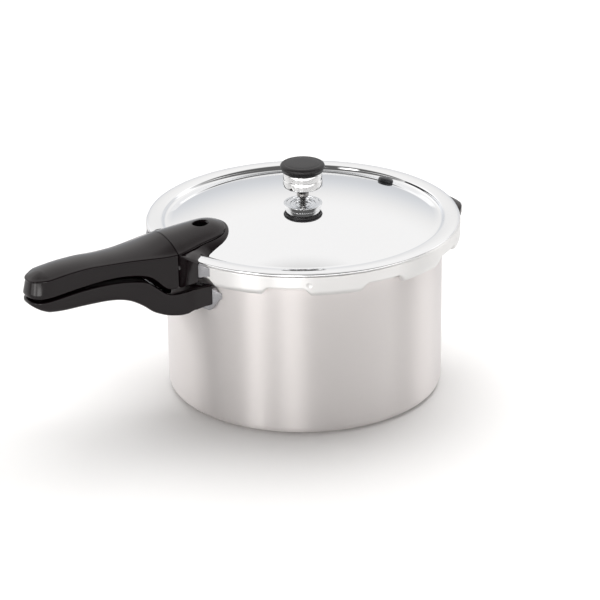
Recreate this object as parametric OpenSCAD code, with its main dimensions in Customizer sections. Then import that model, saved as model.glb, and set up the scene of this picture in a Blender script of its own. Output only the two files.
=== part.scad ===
// Stove-top pressure cooker with a bayonet cover and long twin handles.
// Origin: centre of the base on the table. +Z up, long handles along -X.

/* [Pot] */
// Outer radius of the straight pot wall
pot_radius = 128; // [124:0.5:132]
// Height of the pot rim above the table
rim_z = 155; // [150:1:170]
// Thickness of the pot wall
pot_wall = 2.5; // [2:0.1:3]
// Thickness of the pot floor
pot_floor = 3.5; // [3:0.1:5]
// Radius of the rounded corner between floor and wall
pot_corner = 8; // [5:0.5:12]

/* [Bayonet] */
// Number of bayonet lugs round the rim
lug_count = 10; // [8:1:10]
// Half of the angle that one pot lug covers, in degrees
lug_half_angle = 8; // [6:0.5:8]
// Height of a pot lug
lug_height = 5; // [4:0.5:5]

/* [Cover] */
// Height of the top of the dome above the rim
dome_rise = 28.5; // [26:0.5:30]
// Radius of the dome's outer surface
dome_radius = 332; // [330:1:336]
// Thickness of the cover sheet
cover_sheet = 2.4; // [2:0.1:2.6]

/* [Handles] */
// Distance from the pot wall to the tip of the long handles
handle_reach = 154; // [152:1:158]
// Half of the width of the long handles' grip
grip_half = 18; // [16:0.5:19]
// Half of the width of the cover handle at its seam
seam_half = 31; // [29:0.5:32]
// Distance from the pot wall to the end of the helper handle
helper_reach = 41; // [38:0.5:46]

/* [Regulator] */
// Radius of the regulator's cap
cap_radius = 20.6; // [19:0.1:22]
// Height of the regulator weight without its cap
weight_height = 14; // [12:0.5:16]

/* [Hidden] */
$fn = 96;

// Rim and lugs
bead_r = pot_radius + 8;            // outer radius of the rolled rim
lug_r = pot_radius + 11.8;          // outer radius of the pot lugs
lug_z = rim_z - 10.6;               // underside of rim and pot lugs
lug_pitch = 360 / lug_count;

// Cover, seen in section
skirt_r = pot_radius + 16.8;        // outer radius of the skirt
skirt_z = rim_z - 13.5;             // lower edge of the skirt
curl_r = 6.5;                       // outer radius of the curl at the skirt's lower edge
curl_in = 8;                        // how far the curled lug reaches inwards
ring_z = rim_z + 8.8;               // top of the raised ring
valley_r = pot_radius - 1.8;        // radius of the bottom of the valley
valley_z = rim_z + 4.3;             // bottom of the valley, outer surface
valley_fillet = 3;
valley_top_angle = -15;             // where the valley's arc ends, in degrees
dome_z = rim_z + dome_rise;         // top of the dome
dome_centre = dome_z - dome_radius;
notch_z = rim_z - 5;                // upper edge of the notches in the skirt
notch_top_half = 15.4;              // half width of a notch at its upper edge
notch_low_half = 23.4;              // half width of a notch at the skirt's lower edge
dimple_r = 2.6;
dimple_z = rim_z - 1.6;
dimple_angle = 8.2;                 // from a notch's middle to its dimple

// Air vent on the cover
vent_x = pot_radius - 20.9;         // distance of the air vent from the axis
boss_low = rim_z + 4.6;
boss_seat = rim_z + 10.2;
boss_top = rim_z + 13.4;
boss_r = 10;
gasket_neck = 5;
gasket_flange = 7.2;
gasket_lip = 1.5;
vent_travel = 3.5;
vent_gap = 0.3;                     // left between the pin and the gasket
pin_r = 2.9;
pin_foot_r = 7.5;
pin_foot = 2.8;
pin_head_r = 4.6;
pin_head = 4.5;

// Locking bracket inside the pot
lock_angle = 170;
lock_half_angle = 3;
lock_sheet = 1.5;
lock_z = rim_z + 1.3;
lock_low = rim_z - 27;
lock_reach = 14;
lock_rivet_z = rim_z - 17;

// Overpressure plug
plug_dist = 111;
plug_angle = 15.6;
plug_neck = 5.2;
plug_tilt = asin(plug_dist / dome_radius);

// Handle brackets
strap = 3.8;                        // thickness of a pot bracket
strap_low = rim_z - 43;
strap_high = rim_z - 22;
tongue_z = rim_z - 38;
tongue_thick = 2.5;
body_strap_angle = 24.5;
helper_strap_angle = 15;
strap_bevel = 3;                    // angle taken by a strap's sloping end
rivet_r = 2;
rivet_head_r = 3.6;
rivet_head = 1.3;
body_rivet_angle = 14;
helper_rivet_angle = 8;
pot_rivet_z = rim_z - 31;
screw_r = 2.4;
screw_head_r = 4.4;
screw_head = 3;

body_screws = [pot_radius + 12, pot_radius + 24];
body_screw_head = rim_z - 47;
body_screw_tip = rim_z - 32;
body_tongue_end = 32;
helper_screw = pot_radius + 9;
helper_screw_head = rim_z - 45;
helper_screw_tip = rim_z - 33;
helper_tongue_end = 16;

// Cover bracket, its screws, and the tenon that joins the two mouldings of the cover handle
cover_strap = 2.7;                  // thickness of the cover bracket
cover_strap_low = rim_z - 5.5;
cover_strap_high = rim_z + 7;
cover_strap_angle = 25.3;
cover_rivet_z = rim_z - 2.4;
cover_rivet_angle = 12;
cover_rivet_r = 1.5;
cover_rivet_head_r = 2;
cover_screws = [skirt_r + 9, skirt_r + 20];
cover_screw_head = rim_z - 18;
cover_screw_tip = rim_z + 11;
seam_out = 17;                      // distance of the handle's seam beyond the pot wall
tenon_z = rim_z + 7.4;
tenon_high = rim_z + 12.5;
tenon_half = 10;
tenon_end = skirt_r + 14;

// Vent pipe and regulator
pipe_r = 3.4;
pipe_bore = 1.2;
pipe_shank = 3.1;
pipe_flange = 5;
pipe_top = dome_z + 14.5;
weight_z = dome_z + 8.5;            // underside of the regulator weight
weight_low_r = 18.8;
weight_high_r = 17.4;
weight_top = weight_z + weight_height;
cap_height = 8;

// Cooking rack
rack_r = pot_radius - 16;
rack_top = 15;
rack_sheet = 1.5;
rack_gap = 0.3;

// Joining faces and clearances
eps = 0.01;
slack = 0.2;
rivet_seat = 0.07;                  // gap that a flat head leaves to a hollow wall

function arc(cx, cy, r, a0, a1, n = 6) =
  [for (i = [0:n]) let (a = a0 + (a1 - a0) * i / n) [cx + r * cos(a), cy + r * sin(a)]];

function curve(p0, p1, p2, p3, n = 8) =
  [for (i = [0:n]) let (t = i / n, s = 1 - t)
    s * s * s * p0 + 3 * s * s * t * p1 + 3 * s * t * t * p2 + t * t * t * p3];

function sphere_line(radius, r0, r1, n) =
  [for (i = [0:n]) let (r = r0 + (r1 - r0) * i / n)
    [r, dome_centre + sqrt(radius * radius - r * r)]];

// A point of a handle's outline, from its distance beyond the pot wall and height over the rim
function at(out, up) = [pot_radius + out, rim_z + up];

function both_sides(half) =
  concat(half, [for (i = [len(half) - 1:-1:0]) [half[i][0], -half[i][1]]]);

// Strap that follows a round wall and slopes down to it at both ends
module strap_shape(r, thick, angle, bevel, z0, z1) {
  difference() {
    intersection() {
      translate([0, 0, z0]) cylinder(r = r + thick, h = z1 - z0, $fn = 180);
      plan_shape([
        [0, 0], r * [cos(angle), -sin(angle)], 2 * r * [cos(angle - bevel), -sin(angle - bevel)],
        2 * r * [cos(angle - bevel), sin(angle - bevel)], r * [cos(angle), sin(angle)]
      ], z0, z1);
    }
    translate([0, 0, z0 - 1]) cylinder(r = r, h = z1 - z0 + 2, $fn = 180);
  }
}

module side_shape(outline, width) {
  rotate([90, 0, 0])
    linear_extrude(height = width, center = true)
      polygon(outline);
}

module plan_shape(outline, z0, z1) {
  translate([0, 0, z0])
    linear_extrude(height = z1 - z0)
      polygon(outline);
}

module sector(r, a0, a1, z0, z1) {
  plan_shape(concat([[0, 0]], arc(0, 0, r, a0, a1, 4)), z0, z1);
}

module at_rim_angle(angle, z) {
  rotate([0, 0, angle])
    translate([0, 0, z])
      rotate([0, 90, 0])
        children();
}

// Rivet that lies along the radius, with a head at each end
module radial_rivet(angle, z, r_in, r_out, shank_r, head_r, head) {
  at_rim_angle(angle, z) {
    translate([0, 0, r_in - head - rivet_seat]) cylinder(r = head_r, h = head);
    translate([0, 0, r_in - rivet_seat - eps])
      cylinder(r = shank_r, h = r_out - r_in + rivet_seat + 2 * eps);
    translate([0, 0, r_out]) cylinder(r = head_r, h = head);
  }
}

module radial_hole(angle, z, r_in, r_out, radius) {
  at_rim_angle(angle, z)
    translate([0, 0, r_in]) cylinder(r = radius, h = r_out - r_in);
}

// ---------- Pot ----------

module pot_section() {
  inner = pot_radius - pot_wall;
  inner_corner = pot_corner - pot_wall;
  polygon(concat(
    [[0, 0]],
    arc(pot_radius - pot_corner, pot_corner, pot_corner, -90, 0),
    [[pot_radius, lug_z], [bead_r, lug_z]],
    arc(bead_r - 2, rim_z - 2, 2, 0, 90),
    arc(inner + 2, rim_z - 2, 2, 90, 180),
    arc(inner - inner_corner, pot_floor + inner_corner, inner_corner, 0, -90),
    [[0, pot_floor]]
  ));
}

module pot_lugs() {
  for (k = [0:lug_count - 1])
    rotate([0, 0, k * lug_pitch])
      intersection() {
        translate([0, 0, lug_z])
          difference() {
            cylinder(r = lug_r, h = lug_height);
            translate([0, 0, -1]) cylinder(r = bead_r - 1, h = lug_height + 2);
          }
        sector(lug_r + 10, -lug_half_angle, lug_half_angle, lug_z - 1, rim_z);
      }
}

module pot_body() {
  color("silver")
    difference() {
      union() {
        rotate_extrude($fn = 180) pot_section();
        pot_lugs();
      }
      for (side = [-1, 1]) {
        radial_hole(180 + side * body_rivet_angle, pot_rivet_z, pot_radius - 10, pot_radius + 5, rivet_r);
        radial_hole(side * helper_rivet_angle, pot_rivet_z, pot_radius - 10, pot_radius + 5, rivet_r);
      }
      radial_hole(lock_angle, lock_rivet_z, pot_radius - 10, pot_radius + 5, cover_rivet_r);
    }
}

module locking_bracket() {
  inner = pot_radius - pot_wall;
  color("lightgray")
    difference() {
      intersection() {
        union() {
          translate([0, 0, lock_low])
            difference() {
              cylinder(r = inner, h = lock_z - lock_low);
              translate([0, 0, -1]) cylinder(r = inner - lock_sheet, h = lock_z - lock_low + 2);
            }
          translate([0, 0, lock_z - lock_sheet])
            difference() {
              cylinder(r = inner, h = lock_sheet);
              translate([0, 0, -1]) cylinder(r = inner - lock_reach, h = lock_sheet + 2);
            }
        }
        sector(pot_radius + 10, lock_angle - lock_half_angle, lock_angle + lock_half_angle, 0, rim_z + 20);
      }
      radial_hole(lock_angle, lock_rivet_z, pot_radius - 10, pot_radius + 5, cover_rivet_r);
    }
}

module locking_bracket_rivet() {
  color("gray")
    radial_rivet(lock_angle, lock_rivet_z, pot_radius - pot_wall - lock_sheet, pot_radius,
      cover_rivet_r, 3.2, 1.2);
}

// ---------- Brackets, rivets and screws on the pot ----------

module pot_strap(angle, rivet_angle, tongue_end) {
  difference() {
    union() {
      strap_shape(pot_radius, strap, angle, strap_bevel, strap_low, strap_high);
      translate([pot_radius + strap - 1, -12, tongue_z])
        cube([tongue_end - strap + 1, 24, tongue_thick]);
    }
    for (side = [-1, 1])
      radial_hole(side * rivet_angle, pot_rivet_z, pot_radius - 5, pot_radius + 10, rivet_r);
  }
}

module pot_rivets(rivet_angle) {
  for (side = [-1, 1])
    radial_rivet(side * rivet_angle, pot_rivet_z, pot_radius - pot_wall, pot_radius + strap,
      rivet_r, rivet_head_r, rivet_head);
}

// Room inside a pot handle for its strap, tongue, rivet heads
module pot_handle_room(rivet_angle, tongue_end) {
  translate([0, 0, strap_low - 20]) cylinder(r = pot_radius + strap, h = 80, $fn = 180);
  translate([pot_radius, -12 - slack, tongue_z - slack])
    cube([tongue_end + slack, 24 + 2 * slack, tongue_thick + 2 * slack]);
  for (side = [-1, 1])
    radial_hole(side * rivet_angle, pot_rivet_z, pot_radius, pot_radius + strap + rivet_head + 0.5,
      rivet_head_r + 0.5);
}

// Screw driven upwards from below, its head let into a counterbore
module upright_screw(x, head_z, tip_z) {
  translate([x, 0, head_z]) cylinder(r = screw_head_r, h = screw_head);
  translate([x, 0, head_z + screw_head - eps]) cylinder(r = screw_r, h = tip_z - head_z - screw_head);
}

module screw_room(x, open_z, head_z, tip_z) {
  translate([x, 0, open_z]) cylinder(r = screw_head_r + slack, h = head_z + screw_head - open_z);
  translate([x, 0, head_z]) cylinder(r = screw_r + slack, h = tip_z - head_z + 0.5);
}

module body_handle_bracket() {
  color("darkgray")
    rotate([0, 0, 180])
      difference() {
        pot_strap(body_strap_angle, body_rivet_angle, body_tongue_end);
        for (x = body_screws)
          translate([x, 0, tongue_z - 5]) cylinder(r = screw_r, h = 12);
      }
}

module body_handle_rivets() {
  color("gray") rotate([0, 0, 180]) pot_rivets(body_rivet_angle);
}

module body_handle_screws() {
  color("gray")
    rotate([0, 0, 180])
      for (x = body_screws) upright_screw(x, body_screw_head, body_screw_tip);
}

module helper_handle_bracket() {
  color("darkgray")
    difference() {
      pot_strap(helper_strap_angle, helper_rivet_angle, helper_tongue_end);
      translate([helper_screw, 0, tongue_z - 5]) cylinder(r = screw_r, h = 12);
    }
}

module helper_handle_rivets() {
  color("gray") pot_rivets(helper_rivet_angle);
}

module helper_handle_screw() {
  color("gray") upright_screw(helper_screw, helper_screw_head, helper_screw_tip);
}

// ---------- Handles on the pot ----------

function long_plan(tip) = both_sides(concat(
  [[pot_radius - 10, seam_half], [pot_radius + 24, seam_half]],
  curve([pot_radius + 27, seam_half - 1], [pot_radius + 45, grip_half + 6],
    [pot_radius + 60, grip_half], [pot_radius + 80, grip_half]),
  [[pot_radius + tip - 32, grip_half + 0.5]],
  curve([pot_radius + tip - 24, grip_half + 0.3], [pot_radius + tip - 4, grip_half - 0.5],
    [pot_radius + tip, grip_half - 6], [pot_radius + tip, 0])
));

function wing_plan(out0, side0, out1, side1) = both_sides([
  [pot_radius - 20, side1],
  [pot_radius + out1, side1],
  [pot_radius + out0, side0]
]);

module body_handle() {
  outline = concat(
    [at(-20, -49), at(0, -49.5), at(26, -48.2)],
    curve(at(30, -47.6), at(48, -45), at(46, -28.5), at(80, -26.5)),
    [at(122, -25.6)],
    curve(at(124, -25.7), at(138, -26), at(146, -22), at(handle_reach, -14.6)),
    curve(at(handle_reach, -13.8), at(150, -14), at(144, -14.4), at(134, -13.6)),
    curve(at(126, -12.8), at(112, -11), at(94, -9.8), at(75, -10)),
    curve(at(68, -10.2), at(38, -12), at(42, -26.5), at(24, -27.3)),
    [at(-20, -27)]
  );
  color("black")
    rotate([0, 0, 180])
      difference() {
        union() {
          intersection() {
            side_shape(outline, 100);
            plan_shape(long_plan(handle_reach), 0, rim_z);
          }
          intersection() {
            plan_shape(wing_plan(22, seam_half, -6.5, 47), strap_low + 1, strap_high - 1);
            sector(pot_radius + 60, 3 - body_strap_angle, body_strap_angle - 3, 0, rim_z);
          }
        }
        pot_handle_room(body_rivet_angle, body_tongue_end);
        for (x = body_screws) screw_room(x, rim_z - 60, body_screw_head, body_screw_tip);
      }
}

module helper_handle() {
  half = 29;
  outline = concat(
    [at(-12, -45), at(8, -45.5)],
    curve(at(12, -45), at(24, -42), at(20, -23), at(33, -18)),
    curve(at(helper_reach - 1, -17), at(helper_reach, -16), at(helper_reach, -10.5), at(34, -9.8)),
    curve(at(32, -9.9), at(30, -10.6), at(28, -11.4), at(27, -12.2), 4),
    curve(at(25, -13.8), at(19, -20), at(16, -22.5), at(8, -22.8)),
    [at(-12, -22.8)]
  );
  color("black")
    difference() {
      intersection() {
        side_shape(outline, 100);
        plan_shape(both_sides(concat(
          [[pot_radius - 10, 36], [pot_radius - 1, 35.5], [pot_radius + 5, 32]],
          arc(pot_radius + helper_reach - half, 0, half, 90, 0, 12)
        )), 0, rim_z);
      }
      pot_handle_room(helper_rivet_angle, helper_tongue_end);
      screw_room(helper_screw, rim_z - 60, helper_screw_head, helper_screw_tip);
    }
}

// ---------- Rack and sealing ring ----------

module cooking_rack() {
  color("silver")
    difference() {
      rotate_extrude($fn = 120)
        polygon(concat(
          [[0, rack_top - rack_sheet], [rack_r - 3, rack_top - rack_sheet]],
          arc(rack_r - 3, rack_top - rack_sheet - 1.5, 1.5, 90, 0, 3),
          [[rack_r - rack_sheet, pot_floor + rack_gap], [rack_r, pot_floor + rack_gap]],
          arc(rack_r - 3, rack_top - 3, 3, 0, 90, 4),
          [[0, rack_top]]
        ));
      for (ring = [1:4])
        for (k = [0:6 * ring - 1])
          rotate([0, 0, (k + 0.5) * 60 / ring])
            translate([ring * rack_r / 4.7, 0, 5]) cylinder(r = 3.5, h = 20, $fn = 24);
      translate([0, 0, 5]) cylinder(r = 5, h = 20, $fn = 24);
    }
}

module sealing_ring() {
  outer = skirt_r - cover_sheet - 0.5;
  inner = pot_radius + 4.2;
  low = rim_z + 0.3;
  high = ring_z - cover_sheet - 0.4;
  lip = 1.7;
  back = 5;
  color("dimgray")
    rotate_extrude($fn = 180)
      polygon([
        [inner, low], [outer - 0.8, low], [outer, low + 0.8], [outer, high - 0.8],
        [outer - 0.8, high], [inner, high], [inner, high - lip], [outer - back, high - lip],
        [outer - back, low + lip], [inner, low + lip]
      ]);
}

// ---------- Cover ----------

// Outer surface of the cover, from its middle to its lower edge
function cover_outside() = concat(
  sphere_line(dome_radius, 0, valley_r - 3.7, 20),
  arc(valley_r, valley_z + valley_fillet, valley_fillet, -100, valley_top_angle, 6),
  curve([valley_r + 3.2, ring_z - 1.2], [valley_r + 3.6, ring_z - 0.5],
    [valley_r + 4.2, ring_z - 0.1], [valley_r + 5.6, ring_z], 3),
  [[skirt_r - 9, ring_z + 0.3]],
  curve([skirt_r - 3, ring_z - 0.2], [skirt_r - 1.6, ring_z - 0.3],
    [skirt_r - 0.9, ring_z - 0.8], [skirt_r - 0.9, ring_z - 1.6], 4),
  [[skirt_r - 1.4, ring_z - 2], [skirt_r - 0.9, ring_z - 2.4], [skirt_r, ring_z - 2.9]],
  arc(skirt_r - curl_r, skirt_z + curl_r, curl_r, 0, -90, 6)
);

// Inner surface of the cover, from its lower edge back to its middle
function cover_inside() = concat(
  [[skirt_r - curl_in, skirt_z], [skirt_r - curl_in, skirt_z + cover_sheet]],
  arc(skirt_r - curl_r, skirt_z + curl_r, curl_r - cover_sheet, -90, 0, 4),
  [[skirt_r - cover_sheet, ring_z - 3.8], [skirt_r - 3.6, ring_z - cover_sheet]],
  [[valley_r + 7, ring_z - cover_sheet]],
  arc(valley_r, valley_z + valley_fillet, valley_fillet + cover_sheet, valley_top_angle, -100, 6),
  sphere_line(dome_radius - cover_sheet, valley_r - 3.7, 0, 20)
);

// Everything under the cover's outer surface, to trim the pieces that sit on it
module cover_solid() {
  rotate_extrude($fn = 180)
    polygon(concat(cover_outside(), [[skirt_r - curl_r, skirt_z - 40], [0, skirt_z - 40]]));
}

module on_dome(dist, angle) {
  rotate([0, 0, angle])
    translate([0, 0, dome_centre])
      rotate([0, asin(dist / dome_radius), 0])
        translate([0, 0, dome_radius])
          children();
}

module air_vent_place() {
  translate([-vent_x, 0, 0]) children();
}

module notch_cutters() {
  for (k = [0:lug_count - 1])
    rotate([0, 0, (k + 0.5) * lug_pitch])
      translate([skirt_r - curl_in - 5, 0, 0])
        rotate([90, 0, 90])
          linear_extrude(height = curl_in + 20)
            polygon([
              [-notch_low_half - 2, skirt_z - 2], [notch_low_half + 2, skirt_z - 2],
              [notch_top_half, notch_z], [-notch_top_half, notch_z]
            ]);
}

module cover() {
  color("gainsboro")
    difference() {
      union() {
        rotate_extrude($fn = 180) polygon(concat(cover_outside(), cover_inside()));
        air_vent_place()
          translate([0, 0, boss_low]) cylinder(r = boss_r, h = boss_top - boss_low);
      }
      notch_cutters();
      air_vent_place() {
        translate([0, 0, boss_low - 1]) cylinder(r = gasket_neck, h = 30);
        translate([0, 0, boss_seat]) cylinder(r = boss_r - 1.8, h = 30);
      }
      translate([0, 0, dome_z - 20]) cylinder(r = pipe_shank, h = 40);
      on_dome(plug_dist, plug_angle)
        translate([0, 0, -10]) cylinder(r = plug_neck, h = 20);
      for (side = [-1, 1])
        radial_hole(180 + side * cover_rivet_angle, cover_rivet_z, skirt_r - 10, skirt_r + 5, cover_rivet_r);
      for (k = [0:2:lug_count - 1])
        radial_hole((k + 0.5) * lug_pitch + dimple_angle, dimple_z, skirt_r - 0.6, skirt_r + 5, dimple_r);
    }
}

module cover_handle_bracket() {
  color("darkgray")
    rotate([0, 0, 180])
      difference() {
        union() {
          strap_shape(skirt_r, cover_strap, cover_strap_angle, strap_bevel,
            cover_strap_low, cover_strap_high - 1);
          translate([skirt_r + cover_strap - 1, -11, cover_strap_low])
            cube([24, 22, tongue_thick]);
        }
        for (side = [-1, 1])
          radial_hole(side * cover_rivet_angle, cover_rivet_z, skirt_r - 5, skirt_r + 10, cover_rivet_r);
        for (x = cover_screws)
          translate([x, 0, cover_strap_low - 5]) cylinder(r = screw_r, h = 12);
      }
}

module cover_handle_rivets() {
  color("gray")
    rotate([0, 0, 180])
      for (side = [-1, 1])
        radial_rivet(side * cover_rivet_angle, cover_rivet_z, skirt_r - cover_sheet, skirt_r + cover_strap,
          cover_rivet_r, cover_rivet_head_r, 0.8);
}

module cover_handle_screws() {
  color("gray")
    rotate([0, 0, 180])
      for (x = cover_screws) upright_screw(x, cover_screw_head, cover_screw_tip);
}

// Room inside the cover handle for its bracket, rivet heads and screws
module cover_handle_room() {
  translate([0, 0, cover_strap_low - slack])
    cylinder(r = skirt_r + cover_strap + slack, h = cover_strap_high - cover_strap_low, $fn = 180);
  translate([skirt_r, -11 - slack, cover_strap_low - slack])
    cube([cover_strap + 23 + slack, 22 + 2 * slack, tongue_thick + 2 * slack]);
  for (side = [-1, 1])
    radial_hole(side * cover_rivet_angle, cover_rivet_z, skirt_r, skirt_r + cover_strap + 1.2,
      cover_rivet_head_r + 0.4);
  for (x = cover_screws) screw_room(x, rim_z - 60, cover_screw_head, cover_screw_tip);
}

// Crowned top of the cover handle: a long round bar along the handle
module crown(x0, z0, x1, z1, radius) {
  slope = atan((z1 - z0) / (x1 - x0));
  translate([x0, 0, z0])
    rotate([0, -slope, 0])
      translate([-60, 0, -radius])
        rotate([0, 90, 0]) cylinder(r = radius, h = 260, $fn = 120);
}

module tenon(gap) {
  translate([skirt_r - 6, -tenon_half - gap, tenon_z - gap])
    cube([tenon_end - skirt_r + 6 + gap, 2 * (tenon_half + gap), tenon_high - tenon_z + 2 * gap]);
}

module cover_handle_grip() {
  outline = concat(
    [at(seam_out, -21.6), at(22, -22.9)],
    curve(at(25, -23), at(40, -22.5), at(37, -8), at(56, -6)),
    curve(at(58, -5.9), at(80, -4.2), at(108, -6.4), at(134, -9.8)),
    curve(at(136, -10), at(142, -10.8), at(148, -11), at(handle_reach, -10.2)),
    curve(at(handle_reach, 5), at(152, 9), at(144, 11.6), at(126, 12.8)),
    [at(60, 14)],
    curve(at(58, 14.1), at(44, 14.6), at(30, 16.6), at(seam_out, 18.8))
  );
  color("black")
    rotate([0, 0, 180])
      difference() {
        intersection() {
          side_shape(outline, 100);
          plan_shape(long_plan(handle_reach), 0, rim_z + 60);
          crown(pot_radius + seam_out, rim_z + 18.8, pot_radius + 142, rim_z + 12.6, 52);
        }
        cover_handle_room();
        tenon(slack);
      }
}

module cover_handle_nose() {
  tip_out = -43;
  top_plan = both_sides(concat(
    [[pot_radius + seam_out, seam_half]],
    curve([pot_radius + 6, 30], [pot_radius - 10, 26.5], [pot_radius - 26, 25], [pot_radius - 32, 21]),
    curve([pot_radius - 34, 19.6], [pot_radius - 40, 14], [pot_radius + tip_out, 8],
      [pot_radius + tip_out, 0])
  ));
  low_plan = both_sides(concat(
    [[pot_radius + seam_out, 33], [pot_radius + seam_out - 2, 40], [pot_radius + 11.5, 46.5],
     [pot_radius + 6, 46.5]],
    curve([pot_radius + 4, 45], [pot_radius - 6, 36], [pot_radius - 12, 34], [pot_radius - 26, 31], 5),
    curve([pot_radius - 28, 30.4], [pot_radius - 38, 25], [pot_radius + tip_out, 14],
      [pot_radius + tip_out, 0])
  ));
  wedge = [
    at(tip_out, -10), at(seam_out - 8, -12), at(seam_out, -21.6), at(seam_out, 10.5),
    at(-4, 10.5), at(-20, 12), at(-36, 18.5), at(tip_out, 19)
  ];
  top_side = concat(
    [at(tip_out, 0), at(seam_out, 0), at(seam_out, 18.8)],
    [at(-20, 22.8)],
    curve(at(-32, 23.4), at(-38, 23.4), at(-42, 22), at(tip_out, 19))
  );
  color("black")
    rotate([0, 0, 180])
      difference() {
        union() {
          intersection() {
            side_shape(wedge, 100);
            plan_shape(low_plan, 0, rim_z + 60);
          }
          intersection() {
            side_shape(top_side, 100);
            plan_shape(top_plan, 0, rim_z + 60);
            crown(pot_radius - 20, rim_z + 22.8, pot_radius + seam_out, rim_z + 18.8, 52);
          }
          tenon(0);
        }
        rotate([0, 0, 180]) cover_solid();
        cover_handle_room();
        translate([vent_x, 0, rim_z - 10]) cylinder(r = boss_r + slack, h = boss_top - rim_z + 10 + slack);
        translate([vent_x, 0, rim_z]) cylinder(r = 7, h = 60);
        translate([vent_x, 0, rim_z + 21.2]) cylinder(r1 = 7, r2 = 8.4, h = 2);
      }
}

// ---------- Fittings in the cover ----------

module vent_pipe() {
  low = dome_z - 10;
  color("dimgray")
    difference() {
      union() {
        translate([0, 0, low]) cylinder(r = pipe_shank, h = dome_z - low + eps);
        translate([0, 0, dome_z]) cylinder(r = pipe_flange, h = 2);
        translate([0, 0, dome_z]) cylinder(r = pipe_r, h = pipe_top - dome_z - 1.5);
        translate([0, 0, pipe_top - 1.5 - eps]) cylinder(r1 = pipe_r, r2 = 2, h = 1.5);
      }
      translate([0, 0, low - 1]) cylinder(r = pipe_bore, h = pipe_top - low + 2);
    }
}

module vent_pipe_nut() {
  top = dome_z - cover_sheet - 0.1;
  color("gray")
    difference() {
      translate([0, 0, top - 4.5]) cylinder(r = 7, h = 4.5, $fn = 6);
      translate([0, 0, top - 6]) cylinder(r = pipe_shank, h = 8);
    }
}

module overpressure_plug() {
  color("black")
    on_dome(plug_dist, plug_angle)
      rotate_extrude()
        polygon(concat(
          [[0, -5.6], [4, -5.6], [8, -cover_sheet - 0.2], [plug_neck, -cover_sheet - 0.2],
           [plug_neck, 0], [7.2, 0]],
          curve([7.2, 1], [7.2, 3.2], [4, 4.7], [0, 4.7])
        ));
}

module air_vent_gasket() {
  color("dimgray")
    air_vent_place()
      difference() {
        union() {
          translate([0, 0, boss_low - gasket_lip]) cylinder(r = gasket_flange, h = gasket_lip);
          translate([0, 0, boss_low - eps]) cylinder(r = gasket_neck, h = boss_seat - boss_low + 2 * eps);
          translate([0, 0, boss_seat]) cylinder(r = gasket_flange, h = gasket_lip);
        }
        translate([0, 0, boss_low - 5]) cylinder(r = pin_r + 0.35, h = 30);
      }
}

module air_vent_pin() {
  foot_top = boss_low - gasket_lip - vent_gap - vent_travel;
  head_low = boss_seat + gasket_lip + vent_gap;
  color("silver")
    air_vent_place() {
      translate([0, 0, foot_top - pin_foot]) cylinder(r = pin_foot_r, h = pin_foot);
      translate([0, 0, foot_top - eps]) cylinder(r = pin_r, h = head_low - foot_top + 2 * eps);
      translate([0, 0, head_low]) cylinder(r = pin_head_r, h = pin_head);
    }
}

module regulator_weight() {
  groove_z = weight_z + weight_height * 0.5;
  groove_r = (weight_low_r + weight_high_r) / 2;
  color("lightgray")
    rotate_extrude()
      polygon([
        [0, pipe_top + 0.3], [pipe_r + 0.5, pipe_top + 0.3], [pipe_r + 0.5, weight_z + 3.5],
        [12, weight_z + 3.5], [12, weight_z], [weight_low_r - 0.6, weight_z],
        [weight_low_r, weight_z + 0.6],
        [groove_r, groove_z - 0.35], [groove_r - 0.4, groove_z], [groove_r, groove_z + 0.35],
        [weight_high_r, weight_top], [7, weight_top], [7, weight_top + 3.5], [0, weight_top + 3.5]
      ]);
}

module regulator_cap() {
  edge = 2.5;
  color("black")
    rotate_extrude()
      polygon(concat(
        [[0, weight_top + 3.5], [7, weight_top + 3.5], [7, weight_top], [cap_radius - 1, weight_top],
         [cap_radius, weight_top + 1]],
        arc(cap_radius - edge, weight_top + cap_height - edge, edge, 0, 90, 6),
        [[0, weight_top + cap_height + 0.4]]
      ));
}

pot_body();
locking_bracket();
locking_bracket_rivet();
body_handle();
body_handle_bracket();
body_handle_rivets();
body_handle_screws();
helper_handle();
helper_handle_bracket();
helper_handle_rivets();
helper_handle_screw();
cooking_rack();
sealing_ring();
cover();
cover_handle_grip();
cover_handle_nose();
cover_handle_bracket();
cover_handle_rivets();
cover_handle_screws();
vent_pipe();
vent_pipe_nut();
overpressure_plug();
air_vent_gasket();
air_vent_pin();
regulator_weight();
regulator_cap();
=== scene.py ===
"""Looks of a polished stove-top pressure cooker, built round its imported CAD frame."""
import bmesh
import bpy
import math
from mathutils import Matrix, Vector


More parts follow.
